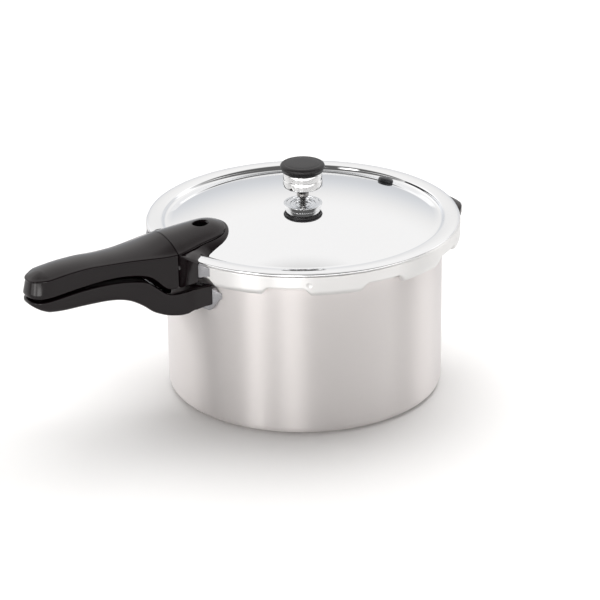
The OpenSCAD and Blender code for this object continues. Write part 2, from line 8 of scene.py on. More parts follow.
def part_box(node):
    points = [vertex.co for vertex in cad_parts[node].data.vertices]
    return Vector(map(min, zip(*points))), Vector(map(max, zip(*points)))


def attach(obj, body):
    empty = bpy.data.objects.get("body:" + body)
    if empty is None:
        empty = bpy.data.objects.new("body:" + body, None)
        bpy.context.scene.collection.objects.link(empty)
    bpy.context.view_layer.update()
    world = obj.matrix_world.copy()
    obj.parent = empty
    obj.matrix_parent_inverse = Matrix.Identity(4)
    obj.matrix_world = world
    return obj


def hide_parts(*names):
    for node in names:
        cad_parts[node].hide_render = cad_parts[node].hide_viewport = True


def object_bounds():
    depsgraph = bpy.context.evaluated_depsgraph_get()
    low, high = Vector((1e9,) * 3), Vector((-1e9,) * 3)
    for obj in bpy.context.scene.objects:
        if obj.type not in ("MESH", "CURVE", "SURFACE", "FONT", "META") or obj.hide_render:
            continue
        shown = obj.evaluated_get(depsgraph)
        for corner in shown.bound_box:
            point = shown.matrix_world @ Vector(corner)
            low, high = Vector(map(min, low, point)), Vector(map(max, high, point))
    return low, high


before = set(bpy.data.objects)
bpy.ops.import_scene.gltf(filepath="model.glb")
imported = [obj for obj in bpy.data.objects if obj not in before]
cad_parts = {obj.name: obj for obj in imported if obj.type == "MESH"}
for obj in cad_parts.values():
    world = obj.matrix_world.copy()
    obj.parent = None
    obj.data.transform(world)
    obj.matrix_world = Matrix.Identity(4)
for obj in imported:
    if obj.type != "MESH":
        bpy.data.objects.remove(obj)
cad_low, cad_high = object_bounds()

MM = 0.001


# ---------------------------------------------------------------- sizes from the frame

def box_mm(node):
    low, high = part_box(node)
    return [c / MM for c in low], [c / MM for c in high]


cover_low, cover_high = box_mm("cover")
pot_high = box_mm("pot_body")[1]
SKIRT_R = (cover_high[0] - cover_low[0]) / 2
SKIRT_Z = cover_low[2]
DOME_Z = cover_high[2]
RIM_Z = pot_high[2]
POT_R = SKIRT_R - 16.8
LUG_R = POT_R + 11.8
BEAD_R = POT_R + 8
LUG_Z = RIM_Z - 10.6
LUG_HEIGHT = 5
LUGS = 10
PITCH = 360 / LUGS
RING_Z = RIM_Z + 8.8
DOME_RADIUS = 332
DOME_CENTRE = DOME_Z - DOME_RADIUS
VALLEY_R = POT_R - 1.8
VALLEY_Z = RIM_Z + 4.3
SHEET = 2.4
CURL = 6.5
CURL_IN = 8
NOTCH_Z = RIM_Z - 5
VENT_X = POT_R - 20.9
PLUG_DISTANCE = 111
LONG_SIDE = math.radians(180)


# ---------------------------------------------------------------- curves and meshes

def lerp(a, b, t):
    return a + (b - a) * t


def smooth(t):
    t = min(1, max(0, t))
    return t * t * (3 - 2 * t)


def arc(cx, cy, r, a0, a1, n=8):
    steps = [math.radians(a0 + (a1 - a0) * i / n) for i in range(n + 1)]
    return [(cx + r * math.cos(a), cy + r * math.sin(a)) for a in steps]


def bezier(p0, p1, p2, p3, n=10):
    out = []
    for i in range(n + 1):
        t = i / n
        s = 1 - t
        w = (s * s * s, 3 * s * s * t, 3 * s * t * t, t * t * t)
        out.append(tuple(sum(k * p[c] for k, p in zip(w, (p0, p1, p2, p3))) for c in range(2)))
    return out


def through(points, x):
    """Height at x on the smooth line through points, which run along x."""
    for i in range(len(points) - 1):
        (x0, y0), (x1, y1) = points[i], points[i + 1]
        if x <= x1 or i == len(points) - 2:
            before = points[max(i - 1, 0)]
            after = points[min(i + 2, len(points) - 1)]
            m0 = (y1 - before[1]) / (x1 - before[0])
            m1 = (after[1] - y0) / (after[0] - x0)
            h = x1 - x0
            t = min(1, max(0, (x - x0) / h))
            a = (1 + 2 * t) * (1 - t) ** 2 * y0 + t * (1 - t) ** 2 * h * m0
            b = t * t * (3 - 2 * t) * y1 + t * t * (t - 1) * h * m1
            return a + b


def make_object(name, vertices, faces, body, material, sharp=35):
    mesh = bpy.data.meshes.new(name)
    mesh.from_pydata([Vector(v) * MM for v in vertices], [], faces)
    mesh.validate()
    work = bmesh.new()
    work.from_mesh(mesh)
    bmesh.ops.remove_doubles(work, verts=work.verts, dist=1e-7)
    bmesh.ops.recalc_face_normals(work, faces=work.faces)
    work.to_mesh(mesh)
    work.free()
    mesh.shade_smooth()
    mesh.set_sharp_from_angle(angle=math.radians(sharp))
    piece = bpy.data.objects.new(name, mesh)
    bpy.context.collection.objects.link(piece)
    piece.data.materials.append(material)
    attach(piece, body)
    return piece


def lathe(profile_at, turns):
    """Vertices and faces of a closed section swept round the axis; profile_at(angle) gives it."""
    vertices, faces = [], []
    count = len(profile_at(0))
    for k in range(turns):
        angle = 2 * math.pi * k / turns
        for r, z in profile_at(angle):
            vertices.append((r * math.cos(angle), r * math.sin(angle), z))
    for k in range(turns):
        following = (k + 1) % turns
        for j in range(count):
            after = (j + 1) % count
            faces.append((k * count + j, following * count + j, following * count + after, k * count + after))
    return vertices, faces


def turned(name, profile, body, material, turns=192, place=None, sharp=35):
    """A turned piece. Its section's first and last points may lie on the axis."""
    vertices, faces = lathe(lambda angle: profile, turns)
    if place:
        vertices = [place @ Vector(v) for v in vertices]
    return make_object(name, vertices, faces, body, material, sharp)


def rounded(points, radii, n=5):
    """Closed outline with its corners rounded, each by its own radius."""
    out = []
    count = len(points)
    for i, (point, radius) in enumerate(zip(points, radii)):
        here = Vector(point)
        before = Vector(points[i - 1]) - here
        after = Vector(points[(i + 1) % count]) - here
        if radius <= 0:
            out.append(tuple(here))
            continue
        cut = min(radius, before.length * 0.49, after.length * 0.49)
        start, end = here + before.normalized() * cut, here + after.normalized() * cut
        for k in range(n + 1):
            t = k / n
            p = start * (1 - t) ** 2 + here * 2 * t * (1 - t) + end * t * t
            out.append(tuple(p))
    return out


# ---------------------------------------------------------------- materials

def material(name, colour, metallic, roughness, grain=(1, 1, 1), grain_scale=400, rough_change=0.05,
             tint=0.06, bump=0.02, bump_depth=0.00002, ior=1.5, specular=0.5, anisotropy=0, layers=3):
    """Principled material whose colour, roughness and relief vary with one stretched noise."""
    made = bpy.data.materials.new(name)
    made.use_nodes = True
    nodes, links = made.node_tree.nodes, made.node_tree.links
    shader = nodes["Principled BSDF"]
    shader.inputs["Metallic"].default_value = metallic
    shader.inputs["IOR"].default_value = ior
    shader.inputs["Specular IOR Level"].default_value = specular
    place = nodes.new("ShaderNodeTexCoord")
    stretch = nodes.new("ShaderNodeMapping")
    stretch.inputs["Scale"].default_value = grain
    noise = nodes.new("ShaderNodeTexNoise")
    noise.inputs["Scale"].default_value = grain_scale
    noise.inputs["Detail"].default_value = layers
    links.new(place.outputs["Object"], stretch.inputs["Vector"])
    links.new(stretch.outputs["Vector"], noise.inputs["Vector"])
    shade = nodes.new("ShaderNodeMix")
    shade.data_type = "RGBA"
    shade.inputs["A"].default_value = (*[c * (1 - tint) for c in colour], 1)
    shade.inputs["B"].default_value = (*[min(1, c * (1 + tint)) for c in colour], 1)
    links.new(noise.outputs["Fac"], shade.inputs["Factor"])
    links.new(shade.outputs["Result"], shader.inputs["Base Color"])
    rough = nodes.new("ShaderNodeMapRange")
    rough.inputs["From Min"].default_value = 0.3
    rough.inputs["From Max"].default_value = 0.7
    rough.inputs["To Min"].default_value = max(0.01, roughness - rough_change)
    rough.inputs["To Max"].default_value = roughness + rough_change
    links.new(noise.outputs["Fac"], rough.inputs["Value"])
    links.new(rough.outputs["Result"], shader.inputs["Roughness"])
    relief = nodes.new("ShaderNodeBump")
    relief.inputs["Strength"].default_value = bump
    relief.inputs["Distance"].default_value = bump_depth
    links.new(noise.outputs["Fac"], relief.inputs["Height"])
    links.new(relief.outputs["Normal"], shader.inputs["Normal"])
    if anisotropy:
        shader.inputs["Anisotropic"].default_value = anisotropy
        shader.inputs["Anisotropic Rotation"].default_value = 0.25
        round_axis = nodes.new("ShaderNodeTangent")
        round_axis.direction_type = "RADIAL"
        round_axis.axis = "Z"
        links.new(round_axis.outputs["Tangent"], shader.inputs["Tangent"])
    return made


BRUSHED_ROUND = (1, 1, 120)
mirror = material("mirror_aluminium", (0.91, 0.92, 0.935), 1, 0.035, grain_scale=300, rough_change=0.015,
                  tint=0.008, bump=0.01)
satin = material("satin_skirt", (0.89, 0.885, 0.88), 1, 0.36, grain=BRUSHED_ROUND, grain_scale=25,
                 rough_change=0.02, tint=0.012, bump=0.04, anisotropy=0.85)
brushed = material("brushed_pot", (0.92, 0.885, 0.875), 1, 0.48, grain=BRUSHED_ROUND, grain_scale=25,
                   rough_change=0.02, tint=0.012, bump=0.04, anisotropy=0.95)
stamped = material("stamped_aluminium", (0.83, 0.83, 0.83), 1, 0.3, grain_scale=250, tint=0.05, bump=0.08)
bracket_steel = material("bracket_steel", (0.36, 0.36, 0.375), 1, 0.3, grain=(60, 60, 900), grain_scale=2,
                         tint=0.05, bump=0.1)
rivet_metal = material("rivet_metal", (0.75, 0.75, 0.76), 1, 0.25, grain_scale=500, bump=0.1)
screw_steel = material("screw_steel", (0.55, 0.55, 0.56), 1, 0.3, grain_scale=600, bump=0.15)
phenolic = material("phenolic", (0.005, 0.0025, 0.0032), 0, 0.13, grain_scale=700, rough_change=0.025,
                    tint=0.25, bump=0.05, ior=1.5, specular=0.38, layers=4)
cap_plastic = material("cap_plastic", (0.012, 0.011, 0.012), 0, 0.42, grain_scale=2500, rough_change=0.05,
                       tint=0.2, bump=0.3, bump_depth=0.00005, ior=1.45)
chrome = material("chrome", (0.86, 0.865, 0.87), 1, 0.045, grain=BRUSHED_ROUND, grain_scale=2,
                  rough_change=0.02, tint=0.01, bump=0.02)
dark_steel = material("pipe_steel", (0.42, 0.41, 0.40), 1, 0.25, grain_scale=500, bump=0.1)
silicone = material("seal_rubber", (0.05, 0.05, 0.052), 0, 0.55, grain_scale=600, tint=0.2, bump=0.2,
                    ior=1.45)
plug_rubber = material("plug_rubber", (0.035, 0.036, 0.04), 0, 0.38, grain_scale=900, tint=0.2, bump=0.15)

CAD_LOOKS = {
    "locking_bracket": bracket_steel,
    "locking_bracket_rivet": rivet_metal,
    "body_handle_rivets": rivet_metal,
    "helper_handle_rivets": rivet_metal,
    "cover_handle_rivets": rivet_metal,
    "body_handle_screws": screw_steel,
    "helper_handle_screw": screw_steel,
    "cover_handle_screws": screw_steel,
    "helper_handle_bracket": bracket_steel,
    "cooking_rack": stamped,
    "sealing_ring": silicone,
    "vent_pipe_nut": dark_steel,
    "air_vent_gasket": plug_rubber,
    "air_vent_pin": rivet_metal,
}
for node, look in CAD_LOOKS.items():
    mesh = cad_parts[node].data
    mesh.materials.clear()
    mesh.materials.append(look)


# ---------------------------------------------------------------- pot

def near(angle, first, width, ramp):
    """1 within width of the nearest of LUGS places, falling to 0 over ramp; all in degrees."""
    away = abs((math.degrees(angle) - first + PITCH / 2) % PITCH - PITCH / 2)
    return 1 - smooth((away - width) / ramp)


def pot_profile(angle):
    corner = 8
    wall = 2.5
    floor = 3.5
    edge = 1.2
    inner = POT_R - wall
    reach = lerp(BEAD_R + 0.1, LUG_R, near(angle, 0, 7.4, 1.2))
    lug_top = LUG_Z + LUG_HEIGHT
    return (
        [(0.01, 0), (POT_R - corner - 12, 0), (POT_R - corner - 6, 0)]
        + arc(POT_R - corner, corner, corner, -90, 0, 16)
        + [(POT_R, lerp(corner, LUG_Z - 2.5, i / 12)) for i in range(1, 13)]
        + arc(POT_R + 2, LUG_Z - 2, 2, 180, 90, 5)
        + arc(reach - edge, LUG_Z + edge, edge, -90, 0, 5)
        + arc(reach - edge, lug_top - edge, edge, 0, 90, 5)
        + [(BEAD_R + 0.05, lug_top + 0.3), (BEAD_R, lug_top + 1)]
        + arc(BEAD_R - 2.4, RIM_Z - 2.4, 2.4, 0, 90, 8)
        + arc(inner + 2.4, RIM_Z - 2.4, 2.4, 90, 180, 8)
        + [(inner, lerp(RIM_Z - 4, corner + floor, i / 8)) for i in range(9)]
        + arc(inner - corner + wall, floor + corner - wall, corner - wall, 0, -90, 10)
        + [(inner - 20, floor), (0.01, floor)]
    )


def pot():
    vertices, faces = lathe(pot_profile, 720)
    piece = make_object("pot_shell", vertices, faces, "pot", brushed)
    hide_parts("pot_body")


# ---------------------------------------------------------------- cover

NOTCH_FIRST = PITCH / 2
DIMPLE_TURN = 8.2
DIMPLE_Z = RIM_Z - 1.6
DIMPLE_R = 2.9


def dome(radius, r0, r1, n):
    return [(r, DOME_CENTRE + math.sqrt(radius * radius - r * r))
            for r in (lerp(r0, r1, i / n) for i in range(n + 1))]


COVER_TOP = (
    dome(DOME_RADIUS, 0.01, VALLEY_R - 3.7, 60)
    + arc(VALLEY_R, VALLEY_Z + 3, 3, -97, -20, 14)
    + bezier((VALLEY_R + 3.1, RING_Z - 1.3), (VALLEY_R + 3.5, RING_Z - 0.5),
             (VALLEY_R + 4.3, RING_Z - 0.1), (VALLEY_R + 5.8, RING_Z), 6)
    + bezier((SKIRT_R - 9, RING_Z + 0.3), (SKIRT_R - 5, RING_Z + 0.3),
             (SKIRT_R - 3.5, RING_Z + 0.1), (SKIRT_R - 2.6, RING_Z - 0.2), 6)
    + bezier((SKIRT_R - 2, RING_Z - 0.5), (SKIRT_R - 1.2, RING_Z - 0.7),
             (SKIRT_R - 0.9, RING_Z - 1.1), (SKIRT_R - 0.9, RING_Z - 1.6), 5)
)
COVER_LEDGE = (
    [(SKIRT_R - 1.3, RING_Z - 1.9), (SKIRT_R - 1.3, RING_Z - 2.2)]
    + bezier((SKIRT_R - 0.9, RING_Z - 2.5), (SKIRT_R - 0.3, RING_Z - 2.6),
             (SKIRT_R, RING_Z - 3), (SKIRT_R, RING_Z - 3.6), 4)
)
COVER_UNDER = (
    [(SKIRT_R - SHEET, RING_Z - 4.2), (SKIRT_R - 3.2, RING_Z - SHEET - 0.2), (SKIRT_R - 4.5, RING_Z - SHEET)]
    + [(VALLEY_R + 8, RING_Z - SHEET), (VALLEY_R + 6.4, RING_Z - SHEET - 0.4)]
    + arc(VALLEY_R, VALLEY_Z + 3, 3 + SHEET, -20, -97, 8)
    + dome(DOME_RADIUS - SHEET, VALLEY_R - 3.9, 0.01, 40)
)


def skirt_section(cut):
    """Skirt from under the groove to its lower edge and back inside: curled under, or cut off in a notch."""
    z_start = RING_Z - 4.2
    if cut:
        edge = SHEET / 2
        low = NOTCH_Z + edge
        outer = [(SKIRT_R, lerp(z_start, low, i / 20)) for i in range(21)]
        turn = arc(SKIRT_R - edge, low, edge, 0, -90, 16) + arc(SKIRT_R - edge, low, edge, -90, -180, 16)
        inner = [(SKIRT_R - SHEET, lerp(low, z_start - 1, i / 6)) for i in range(7)]
        return outer + turn + inner
    outer = [(SKIRT_R, lerp(z_start, SKIRT_Z + CURL, i / 20)) for i in range(21)]
    end = SHEET / 2
    turn = arc(SKIRT_R - CURL, SKIRT_Z + CURL, CURL, 0, -90, 16)
    tail = arc(SKIRT_R - CURL_IN, SKIRT_Z + end, end, -90, -270, 6)
    back = arc(SKIRT_R - CURL, SKIRT_Z + CURL, CURL - SHEET, -90, 0, 9)
    inner = [(SKIRT_R - SHEET, lerp(SKIRT_Z + CURL, z_start - 1, i / 6)) for i in range(7)]
    return outer + turn + tail + back + inner


CURLED = skirt_section(False)
NOTCHED = skirt_section(True)


def dimple_depth(angle, z):
    turn = (math.degrees(angle) - NOTCH_FIRST - DIMPLE_TURN + PITCH) % (2 * PITCH) - PITCH
    away = math.hypot(math.radians(turn) * SKIRT_R, z - DIMPLE_Z) / DIMPLE_R
    if away >= 1.35:
        return 0
    bowl = 0.75 * (1 - smooth(away / 0.95))
    lip = -0.16 * math.exp(-((away - 1.08) / 0.16) ** 2)
    return bowl + lip


def cover_profile(angle):
    t = near(angle, NOTCH_FIRST, 6.15, 3.15)
    skirt = []
    for (r0, z0), (r1, z1) in zip(CURLED, NOTCHED):
        r, z = lerp(r0, r1, t), lerp(z0, z1, t)
        if r > SKIRT_R - SHEET / 2:
            r -= dimple_depth(angle, z)
        skirt.append((r, z))
    return COVER_TOP + COVER_LEDGE + skirt + COVER_UNDER


def cover():
    turns = 1080
    vertices, faces = lathe(cover_profile, turns)
    piece = make_object("cover_shell", vertices, faces, "lid", mirror, sharp=40)
    piece.data.materials.append(satin)
    ledge_z = (RING_Z - 1.9) * MM
    for face in piece.data.polygons:
        away = math.hypot(face.center.x, face.center.y)
        under = face.normal.z < -0.3 and away < (SKIRT_R - 3) * MM
        if under or (away > (SKIRT_R - 9) * MM and face.center.z < ledge_z):
            face.material_index = 1
    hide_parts("cover")


# ---------------------------------------------------------------- long handles

def loft(name, columns, closed, body, look, sharp=32):
    """Solid from columns of points, each from the middle of the underside to the middle of the top."""
    count = len(columns[0])
    vertices = [p for column in columns for p in column]
    faces = []
    pairs = len(columns) if closed else len(columns) - 1
    for k in range(pairs):
        following = (k + 1) % len(columns)
        for j in range(count - 1):
            faces.append((k * count + j, following * count + j,
                          following * count + j + 1, k * count + j + 1))
    if not closed:
        last = (len(columns) - 1) * count
        faces.append(tuple(range(count)) + tuple(last + count - 1 - j for j in range(count)))
    return make_object(name, vertices, faces, body, look, sharp)


def mirrored(half):
    """A whole outline from its half, which runs from its start to its tip on the middle line."""
    return half + [(u, -v) for u, v in reversed(half[:-1])]


def outward(outline, closed):
    normals = []
    last = len(outline) - 1
    for i in range(len(outline)):
        before = outline[i - 1] if (i > 0 or closed) else outline[0]
        after = outline[(i + 1) % len(outline)] if (i < last or closed) else outline[last]
        du, dv = after[0] - before[0], after[1] - before[1]
        length = math.hypot(du, dv)
        normals.append((-dv / length, du / length))
    if not closed:
        normals[0], normals[-1] = (0, 1), (0, -1)
    return normals


def bar(name, half, spine, levels, closed, body, look, sharp=32, sign=1):
    """Moulding whose plan is an outline. levels(u, q) gives its column as (inset, share, z).
    A share of 1 is on the outline and 0 on the middle line, at spine(u)."""
    outline = mirrored(half)
    columns = []
    for (u, v), (nu, nv) in zip(outline, outward(outline, closed)):
        if nu * (u - spine(u)) + nv * v < 0:
            nu, nv = -nu, -nv
        q = spine(u)
        column = []
        for inset, share, z in levels(u, q):
            pu, pv = u - nu * inset, v - nv * inset
            column.append((-sign * (q + (pu - q) * share), pv * share, z))
        columns.append(column)
    if not closed:
        columns[0] = chamfer_end(columns[0], SEAM_CHAMFER)
        columns[-1] = chamfer_end(columns[-1], SEAM_CHAMFER)
    return loft(name, columns, closed, body, look, sharp=sharp)


# The handles are drawn in mm: u is the distance from the axis, v goes to the side, z is the height.

# Half width of the grip along it
GRIP_HALF = [(145, 31), (155, 29.4), (168, 25.7), (187, 20.7), (207, 18.3), (224, 17.9),
             (250, 18.1), (262, 18)]
SEAM_U = 145
SEAM_GAP = 0.2
SEAM_CHAMFER = 0.5
TIP_START = 258
TIP_U = -cad_low[0] / MM
TIP_SQUARE = 2.5
TIP_FLARE = 2.6
COVER_LIP = 0.7


def grip_outline(first, tip, width_change, steps=32):
    start_half = through(GRIP_HALF, TIP_START) - width_change
    stations = [first, first + SEAM_CHAMFER] + [lerp(first, TIP_START, i / 38) for i in range(1, 38)]
    straight = [(u, through(GRIP_HALF, u) - width_change) for u in stations]
    power = 2 / TIP_SQUARE
    tip_part = []
    for i in range(steps + 1):
        a = math.pi / 2 * i / steps
        tip_part.append((TIP_START + (tip - TIP_START) * math.sin(a) ** power,
                         max(0, start_half * max(0, math.cos(a)) ** power)))
    tip_part[-1] = (tip, 0)
    return straight + tip_part


SPINE_END = 264


def long_spine(u):
    return min(u, SPINE_END)


# Heights of the cover grip: its upper edge, its crown and its underside
COVER_EDGE = [(145, 165.6), (155, 164.9), (168, 164.6), (187, 164.5), (207, 164.9), (224, 165.7),
              (240, 165.1), (250, 164.2), (262, 162.6), (270, 161.6), (276, 161), (282, 160.4)]
COVER_SPINE = [(145, 174.2), (155, 171.6), (168, 169.2), (187, 167.6), (207, 167.6), (224, 168), (240, 167.7),
               (250, 167), (264, 165.2)]
COVER_BELOW = [(145, 133.6), (149, 132.4), (153, 132.3), (157, 134), (160, 136.6), (164.5, 141.4),
               (168.5, 144.8), (173, 147), (184, 149.1), (203, 149.8), (233, 148), (262, 144.7),
               (273, 143.9), (282, 144.6)]


# Heights of the body handle: its top and its underside
BODY_TOP = [(120, 137.4), (123.8, 137), (130, 130.8), (134, 128.4), (140, 127.6), (152, 127.6),
            (158.7, 130.2), (165.5, 135.8), (173, 141.6), (184, 143.9), (203, 145.4), (233.5, 145),
            (262.7, 142.1), (274, 141.1), (282, 141.4)]
BODY_BELOW = [(120, 118.6), (123.8, 118), (130, 110.4), (134, 107), (140, 105.6), (154, 106.8), (160, 108),
              (168.6, 111.5), (177, 118.2), (188.4, 124.7), (203, 128), (230, 129), (252, 129.1), (264, 130)]
RIB_GAP = 0.8


def crowned_top(z_edge, z_middle):
    """Upper rows of a cover moulding: its lip, its rolled edge and its crown."""
    wide, tall = 2.2, 1.5
    z_lip = z_edge - tall
    rows = [(COVER_LIP * 0.8, 1, z_lip - 0.75), (0.08, 1, z_lip - 0.5), (0, 1, z_lip - 0.25)]
    rows += [(wide * (1 - math.cos(a)), 1, z_lip + tall * math.sin(a))
             for a in (math.radians(k * 12) for k in range(7))]
    for k in range(1, 15):
        share = 1 - k / 14
        rows.append((wide, share, z_edge + (z_middle - z_edge) * (1 - share ** 2)))
    return rows


def chamfer_end(column, amount):
    """The same column drawn in a little all round, for an open end of a moulding."""
    middle = (column[0][2] + column[-1][2]) / 2
    half = (column[-1][2] - column[0][2]) / 2
    wide = max(abs(v) for u, v, z in column)
    return [(u, v * (1 - amount / wide), middle + (z - middle) * (1 - amount / half)) for u, v, z in column]


def cover_grip():
    low_edge = 1.6

    def levels(u, q):
        z_low, z_edge = through(COVER_BELOW, u), through(COVER_EDGE, u)
        z_middle = through(COVER_SPINE, q)
        z_rib = min(z_low, through(BODY_TOP, u) + RIB_GAP)
        flare = TIP_FLARE * smooth((u - SPINE_END) / 12)
        inner = COVER_LIP + low_edge
        column = [(inner, s, z) for s, z in ((0, z_rib), (0.5, z_rib), (0.56, z_low), (0.85, z_low))]
        column += [(inner - low_edge * math.sin(a), 1, z_low + low_edge * (1 - math.cos(a)))
                   for a in (math.radians(k * 22.5) for k in range(5))]
        column += [(COVER_LIP + flare * k / 5, 1, lerp(z_low + low_edge, z_edge - 2.4, k / 5))
                   for k in range(1, 6)]
        rows = crowned_top(z_edge, z_middle)
        return column + [(inset + flare, share, z) for inset, share, z in rows]

    piece = bar("cover_grip_moulding", grip_outline(SEAM_U + SEAM_GAP, TIP_U, 0), long_spine, levels, False,
                "lid", phenolic)
    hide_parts("cover_handle_grip")


def lid_surface(u, v):
    """Height of the cover's outer surface at a place in plan."""
    away = math.hypot(u, v)
    outside = COVER_TOP
    for (r0, z0), (r1, z1) in zip(outside, outside[1:]):
        if r0 <= away <= r1:
            return lerp(z0, z1, (away - r0) / max(1e-6, r1 - r0))
    return RING_Z - 1.9


# The nose from the seam to its end: its upper edge as (u, v, z), its foot on the cover as (u, v),
# and, where it hangs over the ring's side, the heights of its underside and of its shoulder
NOSE_TOP = [(144.8, 31, 165.6), (144.3, 30.9, 165.7), (142, 30.6, 166), (139.6, 30.3, 166.3),
            (138.4, 30.1, 166.5), (136, 29.8, 166.9), (133, 29.2, 167.4), (127, 28, 168.4),
            (121, 26.9, 169.5), (115, 26, 170.3), (109, 25.2, 171.1), (103, 24.2, 171.9),
            (98, 22.6, 172.8), (94, 20.2, 173.5), (90.6, 16.9, 174.2), (88, 13, 174.7),
            (86.2, 8.6, 175.1), (85.2, 4.2, 175.3), (84.9, 0, 175.4)]
NOSE_FOOT = [(144.8, 31.4), (144.3, 33.2), (141.6, 43.5), (137.8, 53.4), (136.4, 53.2), (134.4, 47),
             (129.6, 42.4), (123, 37.8), (117.3, 34.9), (112, 33.1), (106, 31.4), (100.5, 29.8),
             (95.6, 27.2), (91.4, 23.4), (88, 18.8), (85.4, 13.8), (83.8, 9), (82.9, 4.4), (82.6, 0)]
FAR_WING = 35  # how far the wing reaches to the side away from the camera
NOSE_BELOW = [133.6, 134.4, 140, 145.8]
NOSE_SHOULDER = [163.8, 163.8, 163.4, 162.8, 163.4]
NOSE_MIDDLE = [(84, 178), (97, 178), (107, 177.7), (123, 176.1), (133, 175.1), (145, 174.2)]


def nose_spine(u):
    return max(u, 99)


def nose_column(station, u, v, nu, nv, foot, z_edge):
    """One column of the nose, from under the cover's surface up its sloping side to its crown."""
    q = nose_spine(u)
    if nu * (u - q) + nv * v < 0:
        nu, nv = -nu, -nv
    fu, fv = foot
    if station < len(NOSE_SHOULDER):
        z_foot = NOSE_SHOULDER[station]
    else:
        z_foot = lid_surface(fu, fv) + 0.5
    z_low = NOSE_BELOW[station] if station < len(NOSE_BELOW) else z_foot - 2.5
    column = [(lerp(q, fu, s), fv * s, z_low) for s in (0, 0.5, 0.97, 1)]
    column += [(fu, fv, lerp(z_low, z_foot, k)) for k in (0.05, 0.35, 0.65, 1)]
    top_u, top_v = u - nu * COVER_LIP, v - nv * COVER_LIP
    z_side = z_edge - 2.25
    swell = 1.2 if station < len(NOSE_SHOULDER) + 3 else 0.3
    for t in (0.25, 0.5, 0.75, 1):
        z = lerp(z_foot, z_side, t) + swell * math.sin(math.pi * t)
        column.append((lerp(fu, top_u, t), lerp(fv, top_v, t), z))
    for inset, share, z in crowned_top(z_edge, through(NOSE_MIDDLE, q)):
        pu, pv = u - nu * inset, v - nv * inset
        column.append((q + (pu - q) * share, pv * share, z))
    return [(-cu, cv, cz) for cu, cv, cz in column]


def nose():
    outline = mirrored([(u, v) for u, v, z in NOSE_TOP])
    feet = [(u, min(v, FAR_WING)) for u, v in NOSE_FOOT] + [(u, -v) for u, v in reversed(NOSE_FOOT[:-1])]
    last = len(outline) - 1
    columns = []
    for i, ((u, v), (nu, nv)) in enumerate(zip(outline, outward(outline, False))):
        station = min(i, last - i)
        columns.append(nose_column(station, u, v, nu, nv, feet[i], NOSE_TOP[station][2]))
    columns[0] = chamfer_end(columns[0], SEAM_CHAMFER)
    columns[-1] = chamfer_end(columns[-1], SEAM_CHAMFER)
    piece = loft("cover_nose_moulding", columns, False, "lid", phenolic)
    drill(piece, Vector((-VENT_X, 0, 0)), [(7, 150), (7, 176.2), (8.4, 178.4), (8.4, 190)])
    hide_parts("cover_handle_nose")


def drill(piece, place, profile):
    """Cuts a turned hole, given as (radius, height), upright through a piece."""
    turns = 64
    count = len(profile)
    vertices = [(place.x + r * math.cos(a), place.y + r * math.sin(a), z)
                for a in (2 * math.pi * k / turns for k in range(turns)) for r, z in profile]
    faces = [(k * count + j, (k + 1) % turns * count + j, (k + 1) % turns * count + j + 1, k * count + j + 1)
             for k in range(turns) for j in range(count - 1)]
    faces.append(tuple(k * count for k in range(turns)))
    faces.append(tuple(k * count + count - 1 for k in range(turns)))
    mesh = bpy.data.meshes.new("hole")
    mesh.from_pydata([Vector(v) * MM for v in vertices], [], faces)
    work = bmesh.new()
    work.from_mesh(mesh)
    bmesh.ops.recalc_face_normals(work, faces=work.faces)
    work.to_mesh(mesh)
    work.free()
    cutter = bpy.data.objects.new("hole", mesh)
    bpy.context.collection.objects.link(cutter)
    cut = piece.modifiers.new("hole", "BOOLEAN")
    cut.operation = "DIFFERENCE"
    cut.solver = "EXACT"
    cut.object = cutter
    bpy.context.view_layer.update()
    shape = bpy.data.meshes.new_from_object(piece.evaluated_get(bpy.context.evaluated_depsgraph_get()))
    piece.modifiers.clear()
    piece.data = shape
    bpy.data.objects.remove(cutter)


# Half plan of the body handle's root, from the wall out to its wing and back to the grip
BODY_ROOT = [(131.4, 12), (128.9, 27), (126, 37.4), (120.6, 48.4), (122.8, 49.6), (126.6, 42.2),
             (130.6, 34.4), (131.6, 32.6), (137, 31.1)]
ROOT_U = 136


def body_handle():
    edge = 1.2
    low_edge = 5
    tip = TIP_U - 1.2
    half = [(131.9, 0)] + BODY_ROOT + grip_outline(SEAM_U - 4, tip, 0.4)

    def spine(u):
        return min(max(u, ROOT_U), SPINE_END)

    def levels(u, q):
        z_top, z_low = through(BODY_TOP, u), through(BODY_BELOW, min(u, SPINE_END))
        q_top, q_low = through(BODY_TOP, q), through(BODY_BELOW, q)
        past = max(0, (u - SPINE_END) / (tip - SPINE_END))
        z_low = lerp(z_low, z_top - 4, past ** 1.6) if past else z_low
        rounding = lerp(1.6, low_edge, smooth((u - 140) / 30)) if u > 140 else 1.6
        rounding = min(rounding, (z_top - z_low) * 0.5)
        column = [(rounding, s, lerp(q_low, z_low, s ** 2.2)) for s in (0, 0.3, 0.6, 0.8)]
        column += [(rounding * (1 - math.sin(a)), 1, z_low + rounding * (1 - math.cos(a)))
                   for a in (math.radians(k * 15) for k in range(7))]
        column += [(0, 1, lerp(z_low + rounding, z_top - edge, k / 5)) for k in range(1, 6)]
        column += [(edge * (1 - math.cos(a)), 1, z_top - edge + edge * math.sin(a))
                   for a in (math.radians(k * 22.5) for k in range(1, 5))]
        column += [(edge, s, lerp(q_top, z_top, s)) for s in (0.8, 0.5, 0.25, 0)]
        return column

    piece = bar("body_grip_moulding", half, spine, levels, True, "pot", phenolic)
    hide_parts("body_handle")


